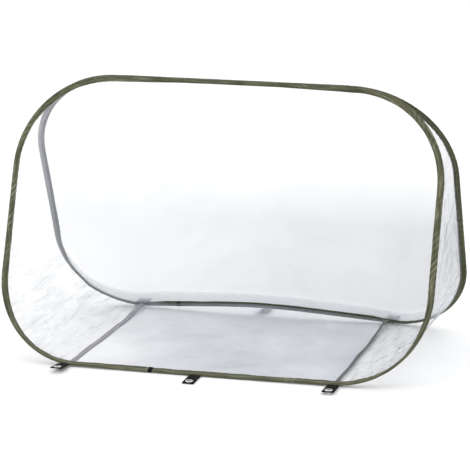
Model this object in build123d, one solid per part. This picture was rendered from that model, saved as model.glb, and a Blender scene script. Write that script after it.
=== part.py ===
from build123d import *
import os
from math import asin, atan2, cos, degrees, radians, sin, tan

# Mini pop-up greenhouse: two rounded rectangular spring-steel hoops in fabric sleeves, sewn
# together along the ridge and held apart at the bottom by a clear floor sheet.
# Millimetres. +X is to the right, -Y is the open front, +Z is up. The origin is on the ground,
# midway between the two hoops.

# ---- hoops -------------------------------------------------------------------------------
HOOP_WIDTH = 993.0          # across the wire's centreline
HOOP_DROP = 661.0           # down the slope, from the ridge wire to the bottom wire
LEAN = 22.4                 # angle of each hoop from the vertical, degrees
CORNER_RADII = {            # a sprung ring never bends quite evenly
    "front": {"bottom_left": 197.0, "bottom_right": 206.0, "top_left": 216.0, "top_right": 214.0},
    "rear": {"bottom_left": 195.0, "bottom_right": 174.0, "top_left": 218.0, "top_right": 226.0},
}
RISES = {"front": -4.0, "rear": 36.0}   # the front bottom edge sags, the rear one arches up
MIDDLE_REACH = 110.0        # half length of the gentle bend in the middle of a bottom edge

WIRE_RADIUS = 1.8
WIRE_END_GAP = 0.5          # the ring's two ends butt inside the ferrule
FERRULE_RADIUS = 2.7
FERRULE_LENGTH = 36.0
JOINTS = {"front": -130.0, "rear": -215.0}  # where each ring is closed, on its bottom edge

SLEEVE_RADIUS = 3.3         # the casing round the wire
SLEEVE_BORE = 2.0
SLEEVE_WIDTH = 15.0         # casing and sewn flange together
FLANGE_THICKNESS = 2.4
SLEEVE_GAP = 6.0            # between the sleeve's two ends, over the ferrule
HINGE_OFFSET = 3.7          # from the ridge axis out to each hoop's plane

# ---- films and tapes ---------------------------------------------------------------------
FILM = 0.8
FLOOR_WIDTH = 608.0
TAPE_WIDTH = 13.0
TAPE_THICKNESS = 1.0
RIDGE_TAPE_LENGTH = 532.0
RIDGE_TAPE_WIDTH = 11.0

# ---- peg tabs ----------------------------------------------------------------------------
TAB_PLACES = {
    "front": {"left": -328.0, "middle": -21.0, "right": 294.0},
    "rear": {"left": -316.0, "middle": -8.0, "right": 304.0},
}
TAB_LIFTS = {               # degrees by which a stiff tab stands up from the ground
    "front": {"left": 11.0, "middle": 0.0, "right": 4.0},
    "rear": {"left": 0.0, "middle": 0.0, "right": 0.0},
}
TAB_WIDTH = 26.0
TAB_LENGTH = 56.0
TAB_THICKNESS = 2.4
TAB_GAP = 2.2               # from the sleeve to the fold where the tab hinges
EYELET_BORE = 4.75
EYELET_WALL = 0.6
EYELET_FLANGE_RADIUS = 9.0
EYELET_FLANGE = 0.8         # the washer under the tab
EYELET_DOME = 1.5           # the rounded flange on top of it
EYELET_FROM_TIP = 12.0

# ---- sizes that follow -------------------------------------------------------------------
HALF_WIDTH = HOOP_WIDTH / 2
FLANGE_DEPTH = SLEEVE_WIDTH - SLEEVE_RADIUS      # from the wire to the flange's inner edge
BOTTOM_Y = HOOP_DROP * sin(radians(LEAN)) + HINGE_OFFSET * cos(radians(LEAN))
RIDGE_HEIGHT = HOOP_DROP * cos(radians(LEAN)) - HINGE_OFFSET * sin(radians(LEAN)) + SLEEVE_RADIUS
SIDES = {"front": -1, "rear": 1}


def save(part, name):
    part.label = name
    export_step(part, f"parts/{name}.step")


def middle_radius(side):
    """The radius of the gentle bend in the middle of a bottom edge."""
    return MIDDLE_REACH * HALF_WIDTH / abs(RISES[side])


def edge_above_corners(x, side):
    """Height of a bottom edge's straight runs and middle bend above the line of its corners."""
    rise = RISES[side]
    if abs(x) >= MIDDLE_REACH:
        return rise * (1 - abs(x) / HALF_WIDTH)
    radius = middle_radius(side) if rise > 0 else -middle_radius(side)
    slope = atan2(abs(rise), HALF_WIDTH)
    centre = rise - radius / cos(slope)
    return centre + (radius**2 - x**2) ** 0.5 * (1 if rise > 0 else -1)


def corner_line(side):
    """Where the line of the bottom corners lies, so that the lowest point is HOOP_DROP down."""
    smallest = min(CORNER_RADII[side]["bottom_left"], CORNER_RADII[side]["bottom_right"])
    lowest_x = HALF_WIDTH - smallest if RISES[side] > 0 else 0
    return -HOOP_DROP - edge_above_corners(lowest_x, side)


def edge_height(x, side):
    """Height of a bottom edge at x, in the hoop's plane, from the ridge wire."""
    radius = CORNER_RADII[side]["bottom_right" if x > 0 else "bottom_left"]
    centre_x = HALF_WIDTH - radius
    if abs(x) <= centre_x:
        return corner_line(side) + edge_above_corners(x, side)
    slope = atan2(RISES[side], HALF_WIDTH)
    centre = corner_line(side) + edge_above_corners(centre_x, side) + radius / cos(slope)
    return centre - (radius**2 - (abs(x) - centre_x) ** 2) ** 0.5


def corner_points(side):
    """The hoop's corners, seen along its own normal: x across, y up from the ridge wire."""
    low = corner_line(side)
    return {
        "bottom_left": (-HALF_WIDTH, low),
        "bottom_middle": (0, low + RISES[side]),
        "bottom_right": (HALF_WIDTH, low),
        "top_right": (HALF_WIDTH, 0),
        "top_left": (-HALF_WIDTH, 0),
    }


def bend_radii(side):
    """The radius at each of those corners."""
    return {**CORNER_RADII[side], "bottom_middle": middle_radius(side)}


def hoop_line(side, gap):
    """The wire's centreline on the XZ plane, open by gap where the ring is closed."""
    corners, radii = corner_points(side), bend_radii(side)
    order = ["bottom_middle", "bottom_right", "top_right", "top_left", "bottom_left"]
    start, end = (
        (x, edge_height(x, side)) for x in (JOINTS[side] + gap / 2, JOINTS[side] - gap / 2)
    )
    points = [start, *[corners[name] for name in order], end]
    flat = FilletPolyline(*points, radius=[radii[name] for name in order])
    return Plane.XZ.location * flat


def hoop_face(side, inset):
    """The flat region inside the hoop, inset from the wire, on the XZ plane."""
    points, radii = corner_points(side), bend_radii(side)
    outline = FilletPolyline(*points.values(), radius=[radii[name] for name in points], close=True)
    face = make_face(Plane.XY * outline)
    return Plane.XZ.location * offset(face, amount=-inset)


def raise_to_ridge(part, side):
    """Takes a hoop part from hanging plumb below the ridge axis to its leaning place."""
    return Pos(0, 0, RIDGE_HEIGHT) * Rot(X=SIDES[side] * LEAN) * part


def in_plane(part, side):
    """Moves a part from the XZ plane out to its hoop's plane, and leans it."""
    return raise_to_ridge(Pos(0, SIDES[side] * HINGE_OFFSET, 0) * part, side)


def at_joint(part, side):
    """Lays a part made along Z in the wire's line, centred where the ring is closed."""
    x = JOINTS[side]
    slope = degrees(atan2(RISES[side], HALF_WIDTH))
    return Pos(x, 0, edge_height(x, side)) * Rot(Y=90 - slope) * part


def sweep_along(section, line):
    """Sweeps a section drawn about the origin, +X outward from the hoop, along the line."""
    start = line @ 0
    along = line % 0
    outward = Vector(0, 1, 0).cross(along)
    frame = Plane(origin=start, x_dir=outward, z_dir=along)
    return sweep(frame * section, path=line)


# ---- one function for each kind of piece -------------------------------------------------
def wire(side):
    """A round spring-steel ring, open only by the hairline where its ends butt."""
    line = hoop_line(side, WIRE_END_GAP)
    return in_plane(sweep_along(Circle(WIRE_RADIUS), line), side)


def ferrule(side):
    """The crimped tube that joins the ring's two ends."""
    tube = Circle(FERRULE_RADIUS) - Circle(WIRE_RADIUS + 0.05)
    tube = extrude(tube, FERRULE_LENGTH / 2, both=True)
    return in_plane(at_joint(tube, side), side)


def sleeve(side):
    """Binding tape folded round the wire, with its two layers sewn together as a flange."""
    outer = Circle(SLEEVE_RADIUS)
    flange = Rectangle(FLANGE_DEPTH, FLANGE_THICKNESS, align=(Align.MAX, Align.CENTER))
    section = outer + flange - Circle(SLEEVE_BORE)
    line = hoop_line(side, SLEEVE_GAP)
    tape = sweep_along(section, line)
    room = Cylinder(FERRULE_RADIUS + 0.05, FERRULE_LENGTH + 2)
    return in_plane(tape - at_joint(room, side), side)


def rear_film():
    """The clear panel that fills the rear hoop, butted to the sleeve's flange."""
    face = hoop_face("rear", FLANGE_DEPTH)
    return in_plane(extrude(face, FILM / 2, both=True), "rear")


def wedge():
    """The space between the two hoops' planes, which meet on the ridge axis."""
    half_depth = RIDGE_HEIGHT * tan(radians(LEAN))
    corners = [(0, RIDGE_HEIGHT), (-half_depth, 0), (half_depth, 0)]
    triangle = make_face(Plane.YZ * Polyline(*corners, close=True))
    return extrude(triangle, HALF_WIDTH + SLEEVE_WIDTH, both=True)


def end_film(hand):
    """One end panel: it follows the hoops' ends from the floor tape up to the ridge."""
    strip = hoop_face("front", 0) - hoop_face("front", FILM)
    keep = Box(HALF_WIDTH, 10, 2 * HOOP_DROP + 20)
    middle = FLOOR_WIDTH / 2 + HALF_WIDTH / 2
    strip = (Pos(hand * middle, 0, -HOOP_DROP / 2) * keep) & strip
    leaning = raise_to_ridge(strip, "front")
    depth = 2 * BOTTOM_Y + 40
    return extrude(leaning, depth, dir=(0, 1, 0)) & wedge()


def floor_film():
    """The clear groundsheet between the two bottom edges."""
    sheet = Box(FLOOR_WIDTH, 2 * BOTTOM_Y, FILM, align=(Align.CENTER, Align.CENTER, Align.MIN))
    return sheet & wedge()


def floor_tape(hand):
    """Binding tape over the seam between the floor and one end panel."""
    tape = Box(TAPE_WIDTH, 2 * BOTTOM_Y, TAPE_THICKNESS, align=(Align.CENTER, Align.CENTER, Align.MIN))
    corner = CORNER_RADII["front"]["bottom_left"]
    overlap = FLOOR_WIDTH / 2 + TAPE_WIDTH / 2 - (HALF_WIDTH - corner)
    lift = FILM + overlap**2 / (2 * corner) + 0.4
    return (Pos(hand * FLOOR_WIDTH / 2, 0, lift) * tape) & wedge()


def ridge_tape():
    """The tape sewn over both top sleeves, on which the two hoops hinge."""
    top = RIDGE_HEIGHT + HINGE_OFFSET * sin(radians(LEAN)) + SLEEVE_RADIUS + 0.3
    tape = Box(RIDGE_TAPE_LENGTH, RIDGE_TAPE_WIDTH, FILM, align=(Align.CENTER, Align.CENTER, Align.MIN))
    return Pos(0, 0, top) * tape


def tab_place(side, place):
    """The middle of a tab's sewn edge. The tab droops from there towards the ground."""
    x = TAB_PLACES[side][place]
    lift = edge_height(x, side) + HOOP_DROP
    inward = lift * sin(radians(LEAN))
    drop = lift * cos(radians(LEAN))
    edge = Pos(x, SIDES[side] * (BOTTOM_Y - inward + SLEEVE_RADIUS + TAB_GAP), drop)
    turn = 0 if side == "rear" else 180
    droop = degrees(asin(drop / TAB_LENGTH)) - TAB_LIFTS[side][place]
    return edge * Rot(Z=turn) * Rot(X=-droop)


def tab(side, place):
    """A doubled webbing tab with a hole for its eyelet."""
    strap = Box(TAB_WIDTH, TAB_LENGTH, TAB_THICKNESS, align=(Align.CENTER, Align.MIN, Align.MIN))
    strap = fillet(strap.edges().filter_by(Axis.Z).group_by(Axis.Y)[-1], 3.0)
    hole = Cylinder(EYELET_BORE + EYELET_WALL, 4 * TAB_THICKNESS)
    strap -= Pos(0, TAB_LENGTH - EYELET_FROM_TIP, 0) * hole
    return tab_place(side, place) * Pos(0, 0, EYELET_FLANGE) * strap


def eyelet_place(side, place):
    return tab_place(side, place) * Pos(0, TAB_LENGTH - EYELET_FROM_TIP, 0)


def eyelet(side, place):
    """The upper half of a grommet: a domed flange rolled over into a barrel through the tab."""
    on_base = (Align.CENTER, Align.CENTER, Align.MIN)
    top_of_tab = EYELET_FLANGE + TAB_THICKNESS
    barrel = Cylinder(EYELET_BORE + EYELET_WALL, top_of_tab + EYELET_DOME, align=on_base)
    flange = Pos(0, 0, top_of_tab) * Cylinder(EYELET_FLANGE_RADIUS, EYELET_DOME, align=on_base)
    flange = fillet(flange.edges().group_by(Axis.Z)[-1], 0.8 * EYELET_DOME)
    bore = Cylinder(EYELET_BORE, 8 * TAB_THICKNESS)
    return eyelet_place(side, place) * (barrel + flange - bore)


def washer(side, place):
    """The lower half of a grommet, under the tab."""
    ring = Circle(EYELET_FLANGE_RADIUS) - Circle(EYELET_BORE + EYELET_WALL)
    return eyelet_place(side, place) * extrude(ring, EYELET_FLANGE)


def main():
    os.makedirs("parts", exist_ok=True)
    for side in SIDES:
        save(wire(side), f"{side}_hoop_wire")
        save(ferrule(side), f"{side}_wire_ferrule")
        save(sleeve(side), f"{side}_hoop_sleeve")
        for place in TAB_PLACES[side]:
            save(tab(side, place), f"{side}_{place}_tab")
            save(eyelet(side, place), f"{side}_{place}_eyelet")
            save(washer(side, place), f"{side}_{place}_eyelet_washer")
    save(rear_film(), "rear_panel")
    save(floor_film(), "floor_sheet")
    save(ridge_tape(), "ridge_binding")
    for name, hand in {"left": -1, "right": 1}.items():
        save(end_film(hand), f"{name}_end_panel")
        save(floor_tape(hand), f"{name}_floor_tape")
    print(f"ridge axis {RIDGE_HEIGHT:.3f} above the ground, bottom wire at y {BOTTOM_Y:.3f}")


main()
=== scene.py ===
from math import asin, cos, pi, radians, sin

import bmesh
import bpy
import numpy as np
from mathutils import Matrix, Vector


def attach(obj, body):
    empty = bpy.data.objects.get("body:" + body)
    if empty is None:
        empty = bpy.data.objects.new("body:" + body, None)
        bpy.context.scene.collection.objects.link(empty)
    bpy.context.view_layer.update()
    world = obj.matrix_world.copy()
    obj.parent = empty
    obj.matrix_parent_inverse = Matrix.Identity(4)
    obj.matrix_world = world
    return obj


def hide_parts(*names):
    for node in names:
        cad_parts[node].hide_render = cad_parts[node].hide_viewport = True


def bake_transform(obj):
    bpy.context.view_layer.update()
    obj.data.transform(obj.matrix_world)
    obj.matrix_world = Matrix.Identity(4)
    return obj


# A small pop-up greenhouse: two sprung hoops in olive binding, joined along the ridge, with a
# clear film back, ends and floor. Metres, in the CAD model's frame: +X right, -Y the open
# front, +Z up.

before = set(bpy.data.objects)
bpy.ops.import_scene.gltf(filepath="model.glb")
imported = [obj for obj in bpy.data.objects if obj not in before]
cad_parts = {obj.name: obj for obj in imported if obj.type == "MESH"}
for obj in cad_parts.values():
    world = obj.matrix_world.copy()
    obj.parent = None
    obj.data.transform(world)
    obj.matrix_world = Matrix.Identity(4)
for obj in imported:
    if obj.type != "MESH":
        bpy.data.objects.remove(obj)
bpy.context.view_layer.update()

# ---- sizes shared with the CAD model -----------------------------------------------------
HALF_WIDTH = 0.4965
HOOP_DROP = 0.661
LEAN = radians(22.4)
CORNERS = {                 # radius of each hoop's bottom and top corner, left and right
    "front": {"left": (0.197, 0.216), "right": (0.206, 0.214)},
    "rear": {"left": (0.195, 0.218), "right": (0.174, 0.226)},
}
RISE = {"front": -0.004, "rear": 0.036}     # of a bottom edge's middle, above its corners
MIDDLE_REACH = 0.110        # half the length of the bend in that edge's middle
HINGE_OFFSET = 0.0037       # from the ridge hinge to each hoop's plane
SLEEVE_RADIUS = 0.0033
JOINT_X = {"front": -0.130, "rear": -0.215}
SLEEVE_GAP = 0.006          # between the binding's ends at the ring's joint
SIGN = {"front": -1, "rear": 1}
RIDGE_HEIGHT = HOOP_DROP * cos(LEAN) - HINGE_OFFSET * sin(LEAN) + SLEEVE_RADIUS
RIDGE_TAPE_HALF = 0.266     # half its length
TAB_X = {
    "front": {"left": -0.328, "middle": -0.021, "right": 0.294},
    "rear": {"left": -0.316, "middle": -0.008, "right": 0.304},
}
TAB_LIFT = {                # degrees by which each tab rests above the ground
    "front": {"left": 11, "middle": 0, "right": 4},
    "rear": {"left": 0, "middle": 0, "right": 0},
}
TAB_HALF = 0.013
TAB_LENGTH = 0.056
TAB_GAP = 0.0022            # from the sleeve to the tab's sewn edge
EYELET_FROM_TIP = 0.012
EYELET_BARREL = 0.00535
FLOOR_DEPTH = 0.51          # between the two hoops on the ground
FLOOR_HALF = 0.304          # half the floor film's width

# ---- the binding -------------------------------------------------------------------------
FLANGE_REACH = 0.0120       # from the wire to the flange's inner edge
TOP_REACH = 0.0064          # the same along the ridge, where the two bindings are sewn together
FILM_SEAM = 0.0080          # from the wire to the line where the film is sewn in
CASING_RADIUS = 0.00325     # of the tape round the wire
FLANGE_SPAN = 0.0155        # from the casing's outside to just past the flange's edge
CUT_EDGE = 0.0012           # the pale cut end of the front binding
BAND_LAP = 0.0050           # how far the black joint tape laps over the binding
RING_STEP = 0.0035
PUCKER = 0.0165             # spacing of the diagonal puckers

# ---- films, tapes and webbing ------------------------------------------------------------
FILM_REST = 0.0006          # the floor film's height where it lies on the ground
END_TOP_X = 0.290           # where the end films reach the ridge
FLOOR_TAPE_HALF = 0.0058    # half its width
RIDGE_TAPE_SIDE = 0.0056    # half its width
UPPER_LAYER = 0.0026        # heights of the folded webbing's two layers
LOWER_LAYER = 0.0014
WEBBING_THICKNESS = 0.00105
TAB_COLUMNS = 12            # of faces across a tab
BOX_HALF = 0.0108           # the box of stitches on a tab, measured from its sewn edge
BOX_START = 0.004
BOX_END = 0.029
STITCH_LEVEL = 0.00318

# Where each floor seam meets the front and the rear hoop. The sheet has slipped a little.
SEAM_X = {"left": (-0.3225, -0.3030), "right": (0.2935, 0.3000)}

# Where a hoop's straight runs and corners meet, counted as stations up its right half:
# 0 bottom middle, 1 start and 2 end of the bottom corner, 3 start and 4 end of the top corner,
# 5 top middle. The flange turns out of the hoop's plane by TWIST at each of TWIST_STATIONS,
# because the films pull it inward at the bottom.
TWIST_STATIONS = [0.0, 0.85, 1.1, 1.5, 1.8, 2.1, 2.6, 3.4, 4.2, 5.0]
TWIST = {
    "front": np.radians([46, 48, 56, 70, 34, 0, -20, -18, -4, 8]),
    "rear": np.radians([6, 8, 40, 70, 34, 0, -20, -14, -4, 8]),
}
PUCKER_STATIONS = [0.0, 1.0, 1.9, 2.2, 3.2, 3.6, 5.0]
PUCKER_STRENGTH = [0.35, 0.30, 0.55, 1.00, 1.00, 0.50, 0.30]


# ---- mesh helpers ------------------------------------------------------------------------
def wave_mix(t, shortest, longest, seed, count=7):
    """A smooth, repeatable wandering between about -1 and 1, from sines of many lengths."""
    rng = np.random.default_rng(seed)
    lengths = np.geomspace(shortest, longest, count)
    phases = rng.uniform(0, 2 * pi, count)
    weights = rng.uniform(0.5, 1.0, count)
    waves = [w * np.sin(2 * pi * t / n + p) for n, p, w in zip(lengths, phases, weights)]
    return sum(waves) / (0.75 * weights.sum())


def smooth_step(t):
    t = np.clip(t, 0, 1)
    return t * t * (3 - 2 * t)


class Patchwork:
    """Gathers patches of vertices and faces, each with its material and UVs, into one mesh."""

    def __init__(self):
        self.points, self.faces, self.uvs, self.slots, self.shades = [], [], [], [], []
        self.count = 0

    def add(self, points, faces, uvs, slot=0, shades=None):
        """uvs holds one pair for each corner of each face, and shades (painted highlight, veil) for each
        point.
        """
        self.points.append(np.asarray(points, float).reshape(-1, 3))
        self.faces += [[i + self.count for i in face] for face in faces]
        self.uvs += [pair for face in uvs for pair in face]
        self.slots += [slot] * len(faces)
        self.shades.append(np.zeros((len(self.points[-1]), 2)) if shades is None else shades.reshape(-1, 2))
        self.count += len(self.points[-1])

    def grid(self, grid, along, across, slot=0, closed=False, caps=False, shades=None):
        """A grid of points, rows by columns. along and across are its UVs; a closed grid joins
        its last column to its first, and has one more number in across."""
        rows, cols = grid.shape[:2]
        faces, uvs = [], []
        for i in range(rows - 1):
            for j in range(cols if closed else cols - 1):
                k = (j + 1) % cols
                faces.append([i * cols + j, i * cols + k, (i + 1) * cols + k, (i + 1) * cols + j])
                left, right, low, high = across[j], across[j + 1], along[i], along[i + 1]
                uvs.append([(low, left), (low, right), (high, right), (high, left)])
        if caps:
            ends = [list(range(cols))[::-1], list(range((rows - 1) * cols, rows * cols))]
            faces += ends
            uvs += [[(along[0], across[j % cols]) for j in end] for end in ends]
        self.add(grid, faces, uvs, slot, shades)

    def stitches(self, line, up, pitch=0.0034, length=0.0026, width=0.0007, height=0.0005, slot=1):
        """A row of stitches along a line of points, each a small thread lying on the cloth."""
        steps = np.linalg.norm(np.diff(line, axis=0), axis=1)
        place = np.concatenate([[0], np.cumsum(steps)])
        centres = np.arange(pitch / 2, place[-1] - pitch / 2, pitch)
        up = np.broadcast_to(up, line.shape)

        def at(values, where):
            return np.stack([np.interp(where, place, values[:, k]) for k in range(3)], 1)

        middle, normal = at(line, centres), at(up, centres)
        run = at(line, centres + length / 2) - at(line, centres - length / 2)
        unit = run / np.linalg.norm(run, axis=1)[:, None]
        side = np.cross(unit, normal)
        ring = [-run / 2, side * width / 2, normal * height, -side * width / 2, run / 2]
        thread = np.stack([middle + offset for offset in ring] + [middle - normal * height], 1)
        shape = [[0, 1, 2], [0, 2, 3], [4, 2, 1], [4, 3, 2], [0, 3, 5], [0, 5, 1], [4, 5, 3], [4, 1, 5]]
        faces = [[6 * n + i for i in face] for n in range(len(centres)) for face in shape]
        uvs = [[(0.0, 0.0)] * 3] * len(faces)
        self.add(thread, faces, uvs, slot)

    def build(self, name, materials):
        mesh = bpy.data.meshes.new(name)
        mesh.from_pydata(np.vstack(self.points).tolist(), [], self.faces)
        layer = mesh.uv_layers.new(name="UVMap")
        layer.data.foreach_set("uv", np.array(self.uvs, np.float32).ravel())
        mesh.polygons.foreach_set("material_index", self.slots)
        shades = np.vstack(self.shades).astype(np.float32)
        for kind, values in zip(("pucker_highlight", "veil"), shades.T):
            if values.any():
                mesh.attributes.new(kind, "FLOAT", "POINT").data.foreach_set("value", values.copy())
        for material in materials:
            mesh.materials.append(material)
        mesh.validate()
        obj = bpy.data.objects.new(name, mesh)
        bpy.context.scene.collection.objects.link(obj)
        mesh.shade_smooth()
        return obj


def push(grid, heights):
    """Moves a grid's points along its own normals."""
    down_rows = np.gradient(grid, axis=0)
    over_cols = np.gradient(grid, axis=1)
    normals = np.cross(down_rows, over_cols)
    normals /= np.maximum(np.linalg.norm(normals, axis=2), 1e-12)[:, :, None]
    return grid + normals * heights[:, :, None]


def creases(u, v, folds):
    """The height of a set of long soft folds at u, v, in metres. Each fold is
    (from u, from v, to u, to v, half width, height)."""
    total = 0
    for u0, v0, u1, v1, half, height in folds:
        run = np.array([u1 - u0, v1 - v0])
        length = np.linalg.norm(run)
        t = ((u - u0) * run[0] + (v - v0) * run[1]) / length**2
        bow = 0.06 * length * np.sin(pi * np.clip(t, 0, 1)) * np.sign(height)
        off = ((v - v0) * run[0] - (u - u0) * run[1]) / length - bow
        fade = np.sin(pi * np.clip(t, 0, 1)) ** 0.7
        spread = half * (0.5 + np.clip(t, 0, 1))
        total = total + height * fade * np.exp(-((off / spread) ** 2))
    return total


def random_folds(seed, count, start, end, half, height):
    """Folds that run from the box start to the box end, each (low u, low v, high u, high v)."""
    rng = np.random.default_rng(seed)
    folds = []
    for _ in range(count):
        u0, v0 = rng.uniform(start[:2], start[2:])
        u1, v1 = rng.uniform(end[:2], end[2:])
        size = rng.uniform(*height) * rng.choice([-1, 1])
        folds.append((u0, v0, u1, v1, rng.uniform(*half), size))
    return folds


# ---- the hoops ---------------------------------------------------------------------------
ARC_POINTS = 60                     # in each straight run or corner of half a hoop
BOTTOM_POINTS = 100                 # of each half, those of the bottom edge and its corner
TOP_POINTS = slice(125, 234)        # of the whole outline, those of the top edge and its corners


def edge_height(x, rise):
    """Height of a bottom edge above its corners' line at x."""
    x = np.abs(x)
    slope = np.arctan2(abs(rise), HALF_WIDTH)
    radius = MIDDLE_REACH * HALF_WIDTH / abs(rise)
    bend = np.sqrt(radius**2 - np.minimum(x, MIDDLE_REACH) ** 2) - radius / cos(slope)
    return np.where(x < MIDDLE_REACH, rise + np.sign(rise) * bend, rise * (1 - x / HALF_WIDTH))


class Hoop:
    """One hoop's wire. s is the distance along it, from the bottom middle up the right side."""

    def __init__(self, side):
        self.sign, self.twist = SIGN[side], TWIST[side]
        rise = RISE[side]
        smallest = min(low_radius for low_radius, _ in CORNERS[side].values())
        lowest = edge_height(HALF_WIDTH - smallest if rise > 0 else 0.0, rise)
        right = self.half(rise, -HOOP_DROP - lowest, *CORNERS[side]["right"])
        left = self.half(rise, -HOOP_DROP - lowest, *CORNERS[side]["left"])
        self.flat = np.vstack([right, left[-2::-1] * (-1, 1)])
        steps = np.linalg.norm(np.diff(self.flat, axis=0), axis=1)
        self.place = np.concatenate([[0], np.cumsum(steps)])
        self.length = self.place[-1]
        n = ARC_POINTS
        marks = np.array([0, n - 1, 2 * n - 2, 2 * n - 1, 3 * n - 2, 3 * n - 1])
        self.top = self.place[marks[-1]]
        self.stations = {1: self.place[marks], -1: self.length - self.place[2 * marks[-1] - marks]}

    @staticmethod
    def half(rise, base, low_radius, high_radius):
        """Half of the outline, from the bottom middle to the top middle."""
        slope = np.arctan2(rise, HALF_WIDTH)
        low_x, high_x = HALF_WIDTH - low_radius, HALF_WIDTH - high_radius
        bottom_x = np.linspace(0, low_x - low_radius * sin(slope), ARC_POINTS)
        bottom = np.stack([bottom_x, base + edge_height(bottom_x, rise)], 1)
        turn = np.linspace(-pi / 2 - slope, 0, ARC_POINTS)[1:]
        centre = base + rise * (1 - low_x / HALF_WIDTH) + low_radius / cos(slope)
        low = np.stack([low_x + low_radius * np.cos(turn), centre + low_radius * np.sin(turn)], 1)
        turn = np.linspace(0, pi / 2, ARC_POINTS)
        high = np.stack([high_x + high_radius * np.cos(turn), high_radius * (np.sin(turn) - 1)], 1)
        return np.vstack([bottom, low, high, [[0, 0]]])

    def at(self, s):
        """The wire's x and height from the ridge wire."""
        s = np.asarray(s, float) % self.length
        return np.stack([np.interp(s, self.place, self.flat[:, k]) for k in (0, 1)], -1)

    def station(self, s):
        """How many stations up its side the place s is."""
        s = np.asarray(s, float) % self.length
        right = np.interp(s, self.stations[1], range(6))
        left = np.interp(self.length - s, self.stations[-1], range(6))
        return np.where(s <= self.top, right, left)

    def bottom_s(self, x):
        """Where the bottom edge passes x."""
        right = np.interp(x, self.flat[:BOTTOM_POINTS, 0], self.place[:BOTTOM_POINTS])
        left = np.interp(x, self.flat[-BOTTOM_POINTS:, 0], self.place[-BOTTOM_POINTS:])
        return np.where(np.asarray(x) < 0, left, right)

    def top_s(self, x):
        """Where the top edge passes x."""
        return np.interp(-x, -self.flat[TOP_POINTS, 0], self.place[TOP_POINTS])

    def point(self, s, inward, beside=0.0):
        """The place at s, inward from the wire along the flange and beside it."""
        step = 0.002
        flat = self.at(s)
        ahead = self.at(np.asarray(s) + step) - self.at(np.asarray(s) - step)
        ahead /= np.linalg.norm(ahead, axis=-1)[..., None]
        turn = np.interp(self.station(s), TWIST_STATIONS, self.twist)
        in_plane = inward * np.cos(turn) - beside * np.sin(turn)
        out = HINGE_OFFSET - inward * np.sin(turn) - beside * np.cos(turn)
        x = flat[..., 0] - ahead[..., 1] * in_plane
        drop = -(flat[..., 1] + ahead[..., 0] * in_plane)
        y = self.sign * (drop * sin(LEAN) + out * cos(LEAN))
        z = RIDGE_HEIGHT - drop * cos(LEAN) + out * sin(LEAN)
        return np.stack(np.broadcast_arrays(x, y, z), -1)


HOOPS = {side: Hoop(side) for side in SIGN}


def fan(obj):
    """Bakes the placement of a film or tape that joins the hoops into its mesh."""
    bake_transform(obj)
    return obj


# ---- materials ---------------------------------------------------------------------------
def tone(*rgb):
    """A linear colour from the usual 0 to 255 numbers."""
    parts = [c / 255 for c in rgb]
    return tuple(c / 12.92 if c <= 0.04045 else ((c + 0.055) / 1.055) ** 2.4 for c in parts) + (1.0,)


class Finish:
    """A Principled material and the nodes that feed it."""

    def __init__(self, name, **constants):
        self.material = bpy.data.materials.new(name)
        self.material.use_nodes = True
        self.tree = self.material.node_tree
        self.surface = self.tree.nodes["Principled BSDF"]
        for socket, value in constants.items():
            self.surface.inputs[socket.replace("_", " ")].default_value = value

    def node(self, kind, inputs=None, output=0, **settings):
        made = self.tree.nodes.new("ShaderNode" + kind)
        for setting, value in settings.items():
            setattr(made, setting, value)
        for socket, value in (inputs or {}).items():
            if isinstance(value, bpy.types.NodeSocket):
                self.tree.links.new(value, made.inputs[socket])
            else:
                made.inputs[socket].default_value = value
        return made.outputs[output]

    def math(self, operation, *values, clamp=False):
        return self.node("Math", dict(enumerate(values)), operation=operation, use_clamp=clamp)

    def remap(self, value, low, high, to_low=0.0, to_high=1.0):
        limits = {"From Min": low, "From Max": high, "To Min": to_low, "To Max": to_high}
        return self.node("MapRange", {"Value": value, **limits})

    def scaled(self, vector, *factors):
        return self.node("Mapping", {"Vector": vector, "Scale": factors})

    def mix(self, share, first, second, blend="MIX"):
        made = self.tree.nodes.new("ShaderNodeMix")
        made.data_type, made.blend_type = "RGBA", blend
        for index, value in ((0, share), (6, first), (7, second)):
            if isinstance(value, bpy.types.NodeSocket):
                self.tree.links.new(value, made.inputs[index])
            else:
                made.inputs[index].default_value = value
        return made.outputs[2]

    def noise(self, vector, scale, detail=3.0, roughness=0.5, distortion=0.0):
        inputs = {"Vector": vector, "Scale": scale, "Detail": detail, "Roughness": roughness}
        return self.node("TexNoise", {**inputs, "Distortion": distortion})

    def wave(self, vector, scale, direction, distortion):
        inputs = {"Vector": vector, "Scale": scale, "Distortion": distortion}
        return self.node("TexWave", inputs, output=1, bands_direction=direction)

    def coordinates(self, kind):
        return self.tree.nodes.new("ShaderNodeTexCoord").outputs[kind]

    def feed(self, socket, value):
        self.tree.links.new(value, self.surface.inputs[socket])

    def bump(self, height, distance, strength=1.0):
        self.feed("Normal", self.node("Bump", {"Height": height, "Distance": distance, "Strength": strength}))


def grey(finish, shade):
    """A neutral colour from one number."""
    return finish.node("CombineColor", {0: shade, 1: shade, 2: shade})


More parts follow.
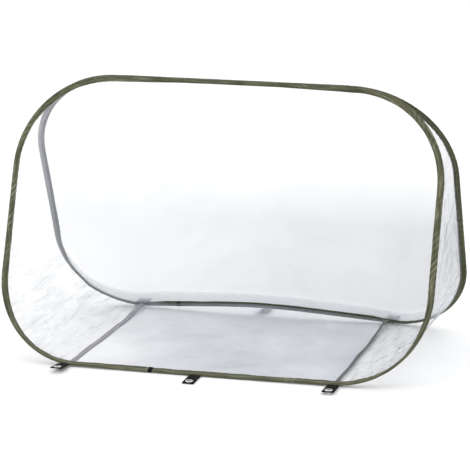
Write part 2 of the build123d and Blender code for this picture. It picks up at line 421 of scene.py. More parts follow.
def woven(
    name, dark, middle, light, rib=0.0009, roughness=0.78, sheen=0.15, specular=0.35, pucker_highlight=None, veil=None
):
    """Ribbed polyester tape: ribs across, finer yarns along, and soft shade changes. The tops of
    its puckers get a painted highlight, a lighter colour, and veil is its colour under clear film."""
    cloth = Finish(
        name, Roughness=roughness, Sheen_Weight=sheen, Sheen_Roughness=0.45, Specular_IOR_Level=specular
    )
    uv = cloth.coordinates("UV")
    ribs = cloth.wave(uv, 0.314 / rib, "X", 0.4)
    yarns = cloth.wave(uv, 0.314 / (0.6 * rib), "Y", 0.4)
    weave = cloth.math("MULTIPLY", ribs, yarns)
    shade = cloth.noise(cloth.scaled(uv, 0.45, 6.0, 1.0), 40.0, 4.0, 0.6)
    fuzz = cloth.noise(uv, 1400.0, 2.0)
    base = cloth.mix(cloth.remap(shade, 0.36, 0.60), tone(*dark), tone(*middle))
    base = cloth.mix(cloth.remap(shade, 0.58, 0.74, 0.0, 0.8), base, tone(*light))
    # mix in the painted highlight on the puckers' tops, then the colour under film
    for kind, colour in (("pucker_highlight", pucker_highlight), ("veil", veil)):
        if colour:
            share = cloth.node("Attribute", output=2, attribute_name=kind)
            base = cloth.mix(cloth.remap(share, 0.1, 0.95), base, tone(*colour))
    yarn_shade = cloth.remap(cloth.math("ADD", weave, fuzz), 0.3, 1.5, 0.72, 1.12)
    cloth.feed("Base Color", cloth.mix(1.0, base, grey(cloth, yarn_shade), "MULTIPLY"))
    cloth.bump(cloth.math("ADD", weave, cloth.math("MULTIPLY", fuzz, 0.4)), 0.00018)
    return cloth.material


def plain(name, colour, roughness, speckle=0.15, metallic=0.0):
    """A solid finish with faint wear: its colour and roughness drift a little."""
    solid = Finish(name, Metallic=metallic)
    place = solid.coordinates("Object")
    drift = solid.noise(place, 260.0, 5.0, 0.6)
    shade = solid.remap(drift, 0.3, 0.7, 1 - speckle, 1 + speckle)
    solid.feed("Base Color", solid.mix(1.0, tone(*colour), grey(solid, shade), "MULTIPLY"))
    solid.feed("Roughness", solid.remap(drift, 0.3, 0.7, roughness * 0.8, roughness * 1.25))
    solid.bump(solid.noise(solid.scaled(place, 1.0, 1.0, 6.0), 900.0, 3.0), 0.00003)
    return solid.material


def clear_film(
    name, haze, colour, across=0.0, most=1.0, fades=(9.0, 8.0), foot=0.0, crinkle_shade=0.2, fold=0.45,
    streak_shade=0.0, cloudy=0.035, hem=0.0,
):
    """Clear PVC film. Its haze grows towards +X by across for each metre, up to most, fades out
    from the second height of fades up to the first, and changes by foot for each metre below
    0.2 m. It is hazier by fold where it is seen edge on, and cloudy is how much it varies.
    Fine crinkles catch the light on their bumps and get painted shade: darker, hazier lines.
    Near the ground, long streaks that run from front to rear are painted shade too, darker
    and hazier. Its doubled hem, if it has one, is a paler strip along the bottom."""
    film = Finish(
        name, Roughness=0.12, IOR=1.52, Specular_IOR_Level=0.9, Coat_Weight=0.5, Coat_Roughness=0.05
    )
    place = film.coordinates("Object")
    axes = film.node("SeparateXYZ", {"Vector": place})
    x_of, z_of = axes, axes.node.outputs[2]
    slope = film.math("MINIMUM", film.math("MULTIPLY_ADD", x_of, across, haze), most)
    slope = film.math("MULTIPLY", slope, film.remap(z_of, *fades))
    below = film.math("MAXIMUM", film.math("SUBTRACT", 0.2, z_of), 0.0)
    slope = film.math("MULTIPLY_ADD", below, foot, slope)
    cloud = film.noise(place, 5.0, 3.0, 0.55, 0.6)
    veil = film.math("ADD", slope, film.remap(cloud, 0.3, 0.7, -cloudy, cloudy))
    veil = film.math("MAXIMUM", veil, 0.02)
    warped = film.noise(film.scaled(place, 1.0, 1.0, 0.7), 9.0, 5.0, 0.62, 1.6)
    ridge = film.math("ABSOLUTE", film.math("SUBTRACT", warped, 0.5))
    lines = film.remap(ridge, 0.0, 0.012, 1.0, 0.0)
    patches = film.remap(film.noise(place, 3.5, 2.0), 0.50, 0.66)
    lines = film.math("MULTIPLY", lines, patches)
    edge_on = film.node("LayerWeight", {"Blend": 0.22}, output=1)
    veil = film.math("ADD", veil, film.math("MULTIPLY", edge_on, fold))
    # painted shade along the crinkles: the lines are made hazier here and darker below
    veil = film.math("ADD", veil, film.math("MULTIPLY", lines, crinkle_shade), clamp=True)
    tint = film.mix(film.remap(cloud, 0.3, 0.7), tone(*colour), tone(*[c + 16 for c in colour]))
    tint = film.mix(lines, tint, tone(*[0.55 * c for c in colour]))
    if streak_shade:
        # painted shade: long darker, hazier streaks that fade out above the ground
        painted_streaks = film.noise(film.scaled(film.coordinates("UV"), 60.0, 6.0, 1.0), 1.0, 5.0, 0.65, 0.8)
        painted_streaks = film.math("MULTIPLY", film.remap(painted_streaks, 0.48, 0.66), film.remap(z_of, 0.0, 0.29, 1.0, 0.0))
        veil = film.math("ADD", veil, film.math("MULTIPLY", painted_streaks, streak_shade), clamp=True)
        tint = film.mix(painted_streaks, tint, tone(*[c - 40 for c in colour]))
    if hem:
        up_it = film.node("SeparateXYZ", {"Vector": film.coordinates("UV")})
        doubled = film.remap(up_it, 0.042, 0.020)
        veil = film.math("MAXIMUM", veil, film.math("MULTIPLY", doubled, hem))
        tint = film.mix(doubled, tint, tone(214, 217, 223))
    film.feed("Alpha", veil)
    film.feed("Base Color", tint)
    fine = film.noise(film.scaled(place, 1.0, 1.0, 0.6), 42.0, 4.0, 0.6, 0.8)
    height = film.math("ADD", film.math("MULTIPLY", fine, 0.7), film.math("MULTIPLY", lines, 0.8))
    film.bump(height, 0.0012, 0.55)
    return film.material


# the last colour of each binding is its painted highlight on the puckers' tops
OLIVE = woven("olive_binding", (62, 63, 40), (103, 103, 79), (152, 152, 130), pucker_highlight=(182, 182, 158))
# the rear binding's darker copy of the same tape is painted shade; veil is the tape under clear film
OLIVE_PAINTED_SHADE = woven(
    "olive_binding_rear_painted_shade", (56, 58, 34), (84, 86, 57), (114, 116, 88),
    pucker_highlight=(124, 126, 100), veil=(184, 184, 192),
)
OLIVE_THREAD = plain("olive_thread", (50, 52, 31), 0.7)
CREAM_EDGE = plain("cut_tape_edge", (166, 160, 132), 0.8)
BLACK_BAND = woven(
    "black_joint_tape", (6, 6, 6), (12, 12, 11), (26, 26, 24), rib=0.0006, sheen=0.0, specular=0.15
)
GREY_TAPE = woven("pale_floor_tape", (138, 138, 144), (160, 160, 167), (186, 186, 192))
# the right floor tape's darker copy of the same tape is painted shade
GREY_TAPE_PAINTED_SHADE = woven("floor_tape_painted_shade", (76, 77, 74), (98, 99, 96), (132, 132, 130))
GREY_THREAD = plain("grey_thread", (120, 120, 124), 0.7)
WEBBING = woven(
    "black_webbing", (6, 6, 4), (12, 12, 9), (36, 35, 28), rib=0.0016, roughness=0.8, sheen=0.0, specular=0.12
)
BLACK_THREAD = plain("black_thread", (34, 34, 30), 0.6)
STEEL = plain("spring_steel", (150, 152, 154), 0.32, metallic=1.0)
FERRULE = plain("black_ferrule", (30, 30, 30), 0.45)
NICKEL = plain("nickel_plate", (214, 214, 210), 0.2, speckle=0.08, metallic=1.0)
CAD_FINISHES = {"hoop_wire": STEEL, "wire_ferrule": FERRULE, "eyelet": NICKEL}
FILMS = {
    "rear": clear_film(
        "rear_clear_film", 0.275, (112, 118, 130), across=0.27, fades=(0.46, 0.26),
        crinkle_shade=0.04, fold=0.2, hem=0.72,
    ),
    "left": clear_film("left_clear_film", 0.02, (165, 168, 177), crinkle_shade=0.10, streak_shade=0.29),
    "right": clear_film(
        "right_clear_film", 0.20, (146, 151, 162), fades=(0.75, 0.45), foot=-0.75,
        crinkle_shade=0.55, fold=0.3, streak_shade=0.28,
    ),
    "floor": clear_film(
        "floor_clear_film", 0.36, (140, 147, 162), across=0.8, most=0.305,
        crinkle_shade=0.05, fold=0.2, cloudy=0.10,
    ),
}


# ---- binding, wires and the joint in each ring -------------------------------------------
def ribbon_section(reach):
    """The folded tape's outline as (inward, beside) in metres: a round casing and a flange
    that the stitches pinch. reach holds one number for each ring."""
    around = np.radians(np.linspace(46, 314, 14))
    casing = [(CASING_RADIUS * cos(a), CASING_RADIUS * sin(a)) for a in around]
    flange = [
        (0.08, 0.0015), (0.30, 0.00115), (0.52, 0.0009), (0.64, 0.0009), (0.82, 0.0011), (0.97, 0.00105),
        (1.0, 0.0005),
    ]
    shape = [(f, -b) for f, b in flange] + flange[::-1]
    inward, beside = [], []
    for a, b in casing:
        inward.append(np.full_like(reach, a))
        beside.append(np.full_like(reach, b))
    for f, b in shape:
        inward.append(SLEEVE_RADIUS + f * (reach - SLEEVE_RADIUS))
        beside.append(np.full_like(reach, b))
    return np.stack(inward, 1), np.stack(beside, 1)


def ribbon(side, start, end, scale=1.0, thick_end=False, seed=1):
    """Rings of the binding from start to end along one hoop, with its puckers, and for each point
    how much painted highlight it gets on the top of a pucker and how much film veils it."""
    hoop = HOOPS[side]
    s = np.linspace(start, end, max(4, int((end - start) / RING_STEP)))
    if thick_end:
        s = np.append(s, end + CUT_EDGE)
    station = hoop.station(s)
    reach = np.interp(station, [0, 3.9, 4.6, 5], [FLANGE_REACH, FLANGE_REACH, TOP_REACH, TOP_REACH])
    reach = reach * (1 + 0.04 * wave_mix(s, 0.05, 0.6, seed))
    inward, beside = ribbon_section(reach)
    strength = np.interp(station, PUCKER_STATIONS, PUCKER_STRENGTH)
    strength = (strength * (0.8 + 0.4 * wave_mix(s, 0.04, 0.5, seed + 1)))[:, None]
    out = np.clip((inward + SLEEVE_RADIUS) / FLANGE_SPAN, 0, 1)
    wander = wave_mix(s, 0.06, 0.4, seed + 2)[:, None]
    phase = s[:, None] / PUCKER + inward / 0.013
    pleat = 0.0008 * strength * np.sin(2 * pi * phase + wander)
    sway = 0.0011 * wave_mix(s, 0.045, 0.35, seed + 3)[:, None] * out
    round_it = phase + np.arctan2(beside, inward) / pi
    swell = 1 + 0.09 * strength * np.sin(2 * pi * round_it + wander)
    swell = swell * scale * (1 + 0.03 * wave_mix(s, 0.011, 0.05, seed + 4)[:, None])
    if thick_end:
        swell = swell * (1 + 0.16 * smooth_step((s - end + 0.024) / 0.02))[:, None]
    patchy = np.clip(0.45 + 0.75 * wave_mix(s, 0.07, 0.9, seed + 5), 0, 1)[:, None]
    # painted highlight: how far each point stands on a pucker's top, patchy along the tape
    pucker_highlight = patchy * strength * np.maximum(np.sin(2 * pi * (phase + 0.12) + wander), 0) ** 2
    veil = 0 * pucker_highlight
    if side == "rear":
        low = np.interp(station, [0.80, 0.95, 2.2, 3.2, 4.0], [0, 0.5, 0.62, 0.85, 0])
        veil = np.where(beside > -0.001, (low * (hoop.at(s)[:, 0] < 0))[:, None] * (1 - 0.3 * pucker_highlight), 0)
    inward = inward * np.where(inward < 0, swell, 1)
    grid = hoop.point(s[:, None], inward, beside * swell + pleat * out + sway)
    return s, grid, np.stack(np.broadcast_arrays(pucker_highlight, veil), -1)


def section_places(grid):
    """Distance round a closed section, for UVs, with one more number to close it."""
    middle = grid[len(grid) // 2]
    steps = np.linalg.norm(np.diff(np.vstack([middle, middle[:1]]), axis=0), axis=1)
    return np.concatenate([[0], np.cumsum(steps)])


def binding(side):
    """The olive tape folded round one hoop, with a row of stitches on each face."""
    hoop = HOOPS[side]
    joint = float(hoop.bottom_s(JOINT_X[side]))
    start, end = joint + SLEEVE_GAP / 2 - hoop.length, joint - SLEEVE_GAP / 2
    thick = side == "front"
    s, grid, shades = ribbon(side, start, end - CUT_EDGE * thick, thick_end=thick, seed=11 if thick else 37)
    sewn = Patchwork()
    places = section_places(grid)
    covered = len(s) - thick
    sewn.grid(grid[:covered], s, places, closed=True, shades=shades[:covered])
    if thick:
        sewn.grid(grid[-2:], s[-2:], places, slot=2, closed=True)
    for ring, order in ((grid[0], -1), (grid[-1], 1)):
        face = list(range(len(ring)))[::order]
        sewn.add(ring, [face], [[(0.0, 0.0)] * len(face)], slot=2 if thick and order == 1 else 0)
    for column in (16, 25):     # one on each face of the flange
        line = 0.5 * (grid[:, column] + grid[:, column + 1])
        beyond = grid[:, column + 1] - grid[:, column]
        up = np.cross(np.gradient(line, axis=0), beyond)
        up /= np.linalg.norm(up, axis=1)[:, None]
        sewn.stitches(line + up * 0.0001, up)
    # the rear hoop's darker copy of the tape is painted shade
    colour = OLIVE if thick else OLIVE_PAINTED_SHADE
    obj = sewn.build(f"{side}_binding", [colour, OLIVE_THREAD, CREAM_EDGE])
    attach(obj, f"{side}_frame")
    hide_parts(f"{side}_hoop_sleeve")


def joint_band(side):
    """The black tape wound over the ferrule, where the binding's two ends meet."""
    hoop = HOOPS[side]
    joint = float(hoop.bottom_s(JOINT_X[side]))
    start, end = joint - SLEEVE_GAP / 2 + 0.0001, joint + SLEEVE_GAP / 2 + BAND_LAP
    s, grid, _ = ribbon(side, start, end, scale=1.12, seed=5)
    wound = Patchwork()
    wound.grid(grid, s, section_places(grid), closed=True, caps=True)
    obj = wound.build(f"{side}_joint_band", [BLACK_BAND])
    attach(obj, f"{side}_frame")


def ridge_tape():
    """The tape over both top bindings, sagging a little between them."""
    rows = np.linspace(-RIDGE_TAPE_HALF, RIDGE_TAPE_HALF, 110)
    y = np.linspace(-RIDGE_TAPE_SIDE, RIDGE_TAPE_SIDE, 11)
    wire_y, wire_z = HINGE_OFFSET * cos(LEAN), RIDGE_HEIGHT + HINGE_OFFSET * sin(LEAN)
    over = np.sqrt(np.maximum(0.0038**2 - (np.abs(y) - wire_y) ** 2, 0.0023**2))
    profile = wire_z + np.where(np.abs(y) < wire_y, np.maximum(over, 0.0033), over)
    ripple = 0.00018 * wave_mix(rows, 0.012, 0.09, 71)[:, None]
    ripple = ripple + 0.0001 * np.sin(rows[:, None] / 0.0021 + y * 900)
    top = np.stack(np.broadcast_arrays(rows[:, None], y, profile + ripple), -1)
    loop = np.concatenate([top, top[:, ::-1] - (0, 0, 0.0007)], 1)
    tape = Patchwork()
    tape.grid(loop, rows, section_places(loop), closed=True, caps=True)
    for column in (2, 8):
        tape.stitches(top[:, column], (0, 0, 1))
    obj = tape.build("ridge_tape", [OLIVE, OLIVE_THREAD])
    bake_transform(obj)
    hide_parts("ridge_binding")


# ---- films -------------------------------------------------------------------------------
def seam_shift(t):
    """How far the seam between the floor and an end panel wanders sideways, front to rear."""
    return 0.0022 * wave_mix(t, 0.3, 1.4, 91, 4) * np.sin(pi * t)


def floor_height(c, t, front_z, rear_z):
    """The floor sheet's height: sewn to both bindings, on the ground between, gently rumpled.
    c runs from -1 at the left seam to 1 at the right one, and t from front to rear."""
    u, v = FLOOR_HALF * c, t * FLOOR_DEPTH
    z = FILM_REST + (front_z - FILM_REST) * np.exp(-((v / 0.016) ** 2))
    z = z + (rear_z - FILM_REST) * np.exp(-(((FLOOR_DEPTH - v) / 0.085) ** 2))
    rumple = wave_mix(u + 0.35 * v, 0.06, 0.40, 51) + wave_mix(v - 0.5 * u, 0.10, 0.5, 52)
    rumple = np.maximum(rumple + 0.25, 0) ** 1.3 * 0.0016
    fade = np.clip(np.minimum(t, 1 - t) * 8, 0, 1) * np.clip((1 - np.abs(c)) * 10, 0, 1)
    starts, ends = (-0.30, 0.02, 0.30, 0.20), (-0.30, 0.25, 0.30, 0.49)
    folds = random_folds(53, 16, starts, ends, (0.004, 0.010), (0.0008, 0.002))
    return z + fade * (rumple + np.abs(creases(u, v, folds)))


def floor_film():
    """The clear groundsheet."""
    c = np.linspace(-1, 1, 121)
    t = np.linspace(0, 1, 96)[:, None]
    edges = []
    for side, which in (("front", 0), ("rear", 1)):
        x = np.interp(c, [-1, 1], [SEAM_X["left"][which], SEAM_X["right"][which]])
        edges.append(HOOPS[side].point(HOOPS[side].bottom_s(x), FILM_SEAM))
    front, rear = edges
    grid = front + (rear - front) * t[:, :, None]
    grid[:, :, 2] = floor_height(c, t, front[:, 2], rear[:, 2])
    grid[:, :, 0] += seam_shift(t) * c**6 * np.sign(c)
    film = Patchwork()
    film.grid(grid, t[:, 0] * FLOOR_DEPTH, FLOOR_HALF * c)
    obj = film.build("floor_film", [FILMS["floor"]])
    fan(obj)
    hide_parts("floor_sheet")


# Folds run from the front hoop to the rear one: u up the panel from the floor seam, v across.
END_FOLDS = {"left": [], "right": []}
for which, *fold_settings in (
    ("left", 21, 26, (0.01, 0.00, 0.26, 0.10), (0.00, 0.34, 0.34, 0.50), (0.0025, 0.006), (0.0006, 0.0024)),
    ("left", 22, 9, (0.16, 0.02, 0.60, 0.06), (0.12, 0.24, 0.60, 0.40), (0.004, 0.009), (0.0006, 0.0020)),
    ("right", 31, 26, (0.01, 0.00, 0.24, 0.08), (0.00, 0.32, 0.30, 0.50), (0.003, 0.007), (0.0010, 0.0034)),
    ("right", 32, 16, (0.24, 0.10, 0.60, 0.20), (0.20, 0.24, 0.62, 0.36), (0.0025, 0.006), (0.0010, 0.0028)),
):
    END_FOLDS[which] += random_folds(*fold_settings)


def end_film(hand):
    """One end panel: from the floor seam round the corners up to the ridge."""
    name = "right" if hand > 0 else "left"
    a = np.linspace(0, 1, 200)
    t = np.linspace(0, 1, 90)
    lines = []
    for side, seam_x in zip(("front", "rear"), SEAM_X[name]):
        hoop = HOOPS[side]
        start, end = hoop.bottom_s(seam_x), hoop.top_s(hand * END_TOP_X)
        lines.append(hoop.point(start + a * (end - start), FILM_SEAM))
    length = float(np.linalg.norm(np.diff(lines[0], axis=0), axis=1).sum())
    chord = lines[0][:, None] + (lines[1] - lines[0])[:, None] * t[:, None]
    width = np.linalg.norm(lines[1] - lines[0], axis=1)[:, None]
    u = (a * length)[:, None] + 0 * t
    v = width * t
    rim = smooth_step(np.minimum(v, width - v) / 0.035)
    rim = rim * smooth_step(u / 0.03) * smooth_step((length - u) / 0.08)
    slack = -0.007 * np.sin(pi * t) * np.sin(pi * a)[:, None] ** 0.5
    broad = 0.0022 * wave_mix(v + 0.6 * u, 0.09, 0.5, 41 + hand)
    broad = broad + 0.0012 * wave_mix(u - 0.7 * v, 0.05, 0.3, 43 + hand)
    height = slack + rim * (broad + creases(u, v, END_FOLDS[name]))
    grid = push(chord, -height * hand)
    near = np.exp(-((u / 0.05) ** 2))
    seam_z = floor_height(1.0, t, lines[0][0, 2], lines[1][0, 2])
    grid[:, :, 2] += near * (seam_z - chord[0, :, 2])
    grid[:, :, 0] += near * seam_shift(t) * hand
    grid[:, :, 2] = np.maximum(grid[:, :, 2], 0.0005)
    film = Patchwork()
    order = slice(None, None, hand)
    film.grid(grid[:, order], a * length, (t * 0.5)[order])
    obj = film.build(f"{name}_end_film", [FILMS[name]])
    fan(obj)
    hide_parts(f"{name}_end_panel")


def rear_film():
    """The back panel, drawn between its corners with soft folds."""
    hoop = HOOPS["rear"]
    low, high = ({h: hoop.stations[h][k] for h in (-1, 1)} for k in (2, 3))
    columns = np.linspace(-1, 1, 181)
    bottom = hoop.point(np.interp(columns, [-1, 0, 1], [-low[-1], 0, low[1]]), FILM_SEAM)
    high_s = [hoop.length - high[-1], hoop.top, high[1]]
    top = hoop.point(np.interp(columns, [-1, 0, 1], high_s), FILM_SEAM)
    rows = np.linspace(0, 1, 100)
    grid = bottom + (top - bottom) * rows[:, None, None]
    u = grid[:, :, 0]
    v = RIDGE_HEIGHT - grid[:, :, 2]
    edge = np.minimum(rows, 1 - rows)[:, None] * 12
    rim = smooth_step(edge) * smooth_step((1 - np.abs(columns)) * 10)
    corners = [(-0.40, 0.52), (0.40, 0.52), (-0.42, 0.10), (0.42, 0.10)]
    folds = []
    for n, (cx, cy) in enumerate(corners):
        box = (cx - 0.04, cy - 0.04, cx + 0.04, cy + 0.04)
        far = (-0.55 * cx - 0.18, 0.12, -0.55 * cx + 0.18, 0.50)
        folds += random_folds(61 + n, 7, box, far, (0.008, 0.020), (0.0008, 0.0026))
    starts, ends = (-0.35, 0.53, 0.35, 0.57), (-0.40, 0.30, 0.40, 0.45)
    folds += random_folds(67, 10, starts, ends, (0.006, 0.014), (0.0008, 0.0022))
    broad = 0.0025 * wave_mix(u + 0.4 * v, 0.15, 0.8, 65) + 0.0018 * wave_mix(v - 0.3 * u, 0.10, 0.6, 66)
    belly = 0.006 * np.sin(pi * rows)[:, None] * np.cos(columns * pi / 2)
    grid = push(grid, belly + rim * (broad + creases(u, v, folds)))
    film = Patchwork()
    film.grid(grid, rows * 0.64, columns * 0.61)
    obj = film.build("rear_film", [FILMS["rear"]])
    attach(obj, "rear_frame")
    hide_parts("rear_panel")


def floor_tape(hand):
    """The tape over a floor seam. The right one is tipped up by the end panel, and its
    darker copy of the tape is painted shade.
    """
    name = "right" if hand > 0 else "left"
    t = np.linspace(0.020, 0.985, 110)
    across = np.linspace(-FLOOR_TAPE_HALF, FLOOR_TAPE_HALF, 9)
    front, rear = (
        HOOPS[side].point(HOOPS[side].bottom_s(x), FILM_SEAM)
        for side, x in zip(("front", "rear"), SEAM_X[name])
    )
    line = front + (rear - front) * t[:, None]
    height = floor_height(1.0, t, front[2], rear[2])
    tilt = radians(38 if hand > 0 else 3) + radians(6) * wave_mix(t, 0.12, 0.6, 81 + hand)
    tilt = tilt * np.clip(np.minimum(t, 1 - t) * 8, 0.2, 1)
    x = np.abs(line[:, :1]) + seam_shift(t)[:, None] + across * np.cos(tilt)[:, None]
    lift = height[:, None] + 0.0012 + (across + FLOOR_TAPE_HALF) * np.sin(np.abs(tilt))[:, None]
    wavy = 0.0004 * wave_mix(t[:, None] + 4 * across, 0.03, 0.3, 83 + hand)
    top = np.stack(np.broadcast_arrays(hand * x, line[:, 1:2], lift + wavy + across**2 / 0.4), -1)
    loop = np.concatenate([top, top[:, ::-1] - (0, 0, 0.0008)], 1)
    tape = Patchwork()
    tape.grid(loop[:, ::hand], t * FLOOR_DEPTH, section_places(loop), closed=True, caps=True)
    for column in (1, 7):
        tape.stitches(top[:, column], (0, 0, 1), length=0.0028)
    obj = tape.build(f"{name}_floor_binding", [GREY_TAPE_PAINTED_SHADE if hand > 0 else GREY_TAPE, GREY_THREAD])
    fan(obj)
    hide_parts(f"{name}_floor_tape")


# ---- peg tabs ----------------------------------------------------------------------------
def tab_layer(z, low, high):
    """One layer of webbing as a flat mesh with the eyelet's hole, from low to high along Y."""
    sheet = bmesh.new()
    hole = TAB_LENGTH - EYELET_FROM_TIP
    start = hole - (high - hole)
    side = np.linspace(-1, 1, TAB_COLUMNS + 1)[:-1]
    square = [(t, -1) for t in side] + [(1, t) for t in side]
    square += [(-a, -b) for a, b in square]
    rings = []
    for k in range(6):
        ring = []
        for a, b in square:
            outer = Vector((a * TAB_HALF, hole + b * (high - hole)))
            inner = Vector((0, hole)) + (outer - Vector((0, hole))).normalized() * EYELET_BARREL
            ring.append(sheet.verts.new((*inner.lerp(outer, k / 5), z)))
        rings.append(ring)
    for inner, outer in zip(rings, rings[1:]):
        for i in range(len(square)):
            j = (i + 1) % len(square)
            sheet.faces.new([inner[i], outer[i], outer[j], inner[j]])
    rows = [
        [sheet.verts.new((a * TAB_HALF, y, z)) for a in np.linspace(-1, 1, TAB_COLUMNS + 1)]
        for y in np.linspace(low, start, 15)
    ]
    for near, far in zip(rows, rows[1:]):
        for i in range(TAB_COLUMNS):
            sheet.faces.new([near[i], near[i + 1], far[i + 1], far[i]])
    return sheet


def tab_webbing(side, place):
    """A tab of webbing folded at its tip, sewn with a box of stitches."""
    fold = TAB_LENGTH - 0.0012
    cloth = bmesh.new()
    for z in (UPPER_LAYER, LOWER_LAYER):
        layer = tab_layer(z, -0.0010, fold)
        mesh = bpy.data.meshes.new("layer")
        layer.to_mesh(mesh)
        layer.free()
        cloth.from_mesh(mesh)
        bpy.data.meshes.remove(mesh)
    across = np.linspace(-TAB_HALF, TAB_HALF, TAB_COLUMNS + 1)
    middle, radius = (UPPER_LAYER + LOWER_LAYER) / 2, (UPPER_LAYER - LOWER_LAYER) / 2
    bends = []
    for turn in np.radians(np.linspace(90, -90, 6)):
        y, z = fold + radius * 1.2 * cos(turn), middle + radius * sin(turn)
        bends.append([cloth.verts.new((x, y, z)) for x in across])
    for near, far in zip(bends, bends[1:]):
        for i in range(TAB_COLUMNS):
            cloth.faces.new([near[i], near[i + 1], far[i + 1], far[i]])
    bmesh.ops.remove_doubles(cloth, verts=cloth.verts, dist=1e-5)
    bmesh.ops.recalc_face_normals(cloth, faces=cloth.faces)
    uv = cloth.loops.layers.uv.new("UVMap")
    for face in cloth.faces:
        for loop in face.loops:
            loop[uv].uv = (loop.vert.co.y, loop.vert.co.x)
    mesh = bpy.data.meshes.new(f"{side}_{place}_webbing")
    cloth.to_mesh(mesh)
    cloth.free()
    return mesh


def tab_matrix(side, place):
    """Where a tab's sewn edge is, as in the CAD model. The tab droops towards the ground."""
    hoop, x = HOOPS[side], TAB_X[side][place]
    lift = float(hoop.at(hoop.bottom_s(x))[1]) + HOOP_DROP
    bottom_y = HOOP_DROP * sin(LEAN) + HINGE_OFFSET * cos(LEAN)
    drop = lift * cos(LEAN)
    y = SIGN[side] * (bottom_y - lift * sin(LEAN) + SLEEVE_RADIUS + TAB_GAP)
    turn = Matrix.Rotation(pi, 4, "Z") if side == "front" else Matrix.Identity(4)
    droop = asin(drop / TAB_LENGTH) - radians(TAB_LIFT[side][place])
    return Matrix.Translation((x, y, drop)) @ turn @ Matrix.Rotation(-droop, 4, "X")


def tab(side, place):
    """One peg tab: the webbing and its stitches."""
    mesh = tab_webbing(side, place)
    obj = bpy.data.objects.new(mesh.name, mesh)
    bpy.context.scene.collection.objects.link(obj)
    for kind, settings in (
        ("SOLIDIFY", {"thickness": WEBBING_THICKNESS, "offset": 0.0}),
        ("BEVEL", {"width": 0.00025, "segments": 2, "limit_method": "ANGLE", "angle_limit": radians(50)}),
    ):
        modifier = obj.modifiers.new(kind, kind)
        for setting, value in settings.items():
            setattr(modifier, setting, value)
    bpy.context.view_layer.update()
    solid = bpy.data.meshes.new_from_object(obj.evaluated_get(bpy.context.evaluated_depsgraph_get()))
    bpy.data.objects.remove(obj)
    solid.materials.append(WEBBING)
    solid.shade_smooth()
    webbing = bpy.data.objects.new(f"{side}_{place}_webbing", solid)
    bpy.context.scene.collection.objects.link(webbing)
    corners = ((-BOX_HALF, BOX_START), (BOX_HALF, BOX_START), (BOX_HALF, BOX_END), (-BOX_HALF, BOX_END))
    box = [(x, y, STITCH_LEVEL) for x, y in corners]
    thread = Patchwork()
    for first, second in zip(box, box[1:] + box[:1]):
        thread.stitches(np.linspace(first, second, 12), (0, 0, 1), pitch=0.0028, length=0.0021, slot=0)
    stitching = thread.build(f"{side}_{place}_box_stitch", [BLACK_THREAD])
    for obj in (webbing, stitching):
        obj.matrix_world = tab_matrix(side, place)
        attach(obj, f"{side}_{place}_tab")
    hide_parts(f"{side}_{place}_tab")


# ---- studio and camera -------------------------------------------------------------------
STAGE_LEVEL = -0.0006       # just under the floor film


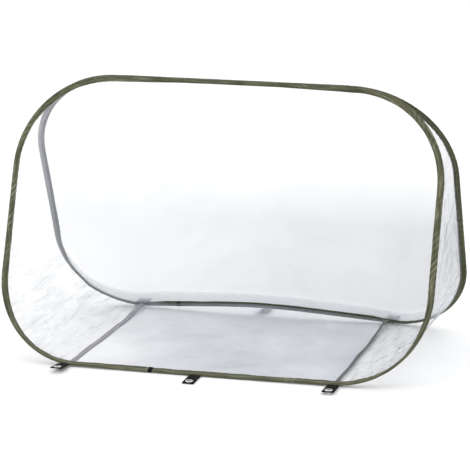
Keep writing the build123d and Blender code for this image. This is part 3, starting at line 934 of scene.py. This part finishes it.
def studio():
    """A white floor, a white surround and three large soft lights."""
    floor = bpy.data.meshes.new("studio_floor")
    corners = [(x, y, STAGE_LEVEL) for x, y in ((-9, -9), (9, -9), (9, 12), (-9, 12))]
    floor.from_pydata(corners, [], [[0, 1, 2, 3]])
    ground = bpy.data.objects.new("studio_floor", floor)
    bpy.context.scene.collection.objects.link(ground)
    paint = Finish("studio_white", Roughness=0.9, Specular_IOR_Level=0.1)
    paint.surface.inputs["Base Color"].default_value = (0.86, 0.86, 0.86, 1)
    floor.materials.append(paint.material)

    world = bpy.data.worlds.new("studio")
    bpy.context.scene.world = world
    world.use_nodes = True
    tree = world.node_tree
    surround = tree.nodes["Background"]
    position = tree.nodes.new("ShaderNodeTexCoord")
    split = tree.nodes.new("ShaderNodeSeparateXYZ")
    ramp = tree.nodes.new("ShaderNodeValToRGB")
    ramp.color_ramp.elements[0].position = 0.35
    ramp.color_ramp.elements[0].color = (0.72, 0.73, 0.75, 1)
    ramp.color_ramp.elements[1].position = 0.95
    ramp.color_ramp.elements[1].color = (1, 1, 1, 1)
    tree.links.new(position.outputs["Generated"], split.inputs[0])
    tree.links.new(split.outputs[2], ramp.inputs[0])
    tree.links.new(ramp.outputs[0], surround.inputs[0])
    surround.inputs[1].default_value = 1.30
    backdrop = tree.nodes.new("ShaderNodeBackground")
    backdrop.inputs[0].default_value = (1, 1, 1, 1)
    seen = tree.nodes.new("ShaderNodeLightPath")
    choose = tree.nodes.new("ShaderNodeMixShader")
    tree.links.new(seen.outputs["Is Camera Ray"], choose.inputs[0])
    tree.links.new(surround.outputs[0], choose.inputs[1])
    tree.links.new(backdrop.outputs[0], choose.inputs[2])
    tree.links.new(choose.outputs[0], tree.nodes["World Output"].inputs[0])

    for name, place, size, power in (
        ("key", (-2.4, -2.6, 3.0), 1.8, 30),
        ("fill", (3.0, -1.6, 1.9), 1.6, 11),
        ("back", (0.6, 3.0, 2.6), 2.2, 20),
    ):
        lamp = bpy.data.lights.new(name, "AREA")
        lamp.size, lamp.energy = size, power
        light = bpy.data.objects.new(name, lamp)
        light.location = place
        towards = Vector((0, 0, 0.25)) - Vector(place)
        light.rotation_euler = towards.to_track_quat("-Z", "Y").to_euler()
        bpy.context.scene.collection.objects.link(light)
    bpy.context.scene.view_settings.view_transform = "Standard"


def camera():
    """A long lens from the front right, a little above the ridge."""
    azimuth, elevation, roll = radians(15.911), radians(14.382), radians(-0.504)
    aim, distance, focal_length = Vector((0.0045, -0.0162, 0.2643)), 6.1254, 206.67
    back = Vector((sin(azimuth) * cos(elevation), -cos(azimuth) * cos(elevation), sin(elevation)))
    level = Vector((cos(azimuth), sin(azimuth), 0))
    upright = back.cross(level)
    right = level * cos(roll) + upright * sin(roll)
    turned = Matrix((right, back.cross(right), back)).transposed().to_4x4()
    lens = bpy.data.cameras.new("camera")
    lens.sensor_width = 36
    lens.lens = focal_length
    lens.clip_end = 60
    obj = bpy.data.objects.new("camera", lens)
    obj.matrix_world = Matrix.Translation(aim + back * distance) @ turned
    bpy.context.scene.collection.objects.link(obj)
    bpy.context.scene.camera = obj


def main():
    camera()
    studio()
    for side in SIGN:
        binding(side)
        joint_band(side)
        for place in TAB_X[side]:
            tab(side, place)
    ridge_tape()
    floor_film()
    rear_film()
    for hand in (-1, 1):
        end_film(hand)
        floor_tape(hand)
    for name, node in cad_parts.items():
        for kind, finish in CAD_FINISHES.items():
            if kind in name:
                for entry in node.material_slots:
                    entry.material = finish


main()
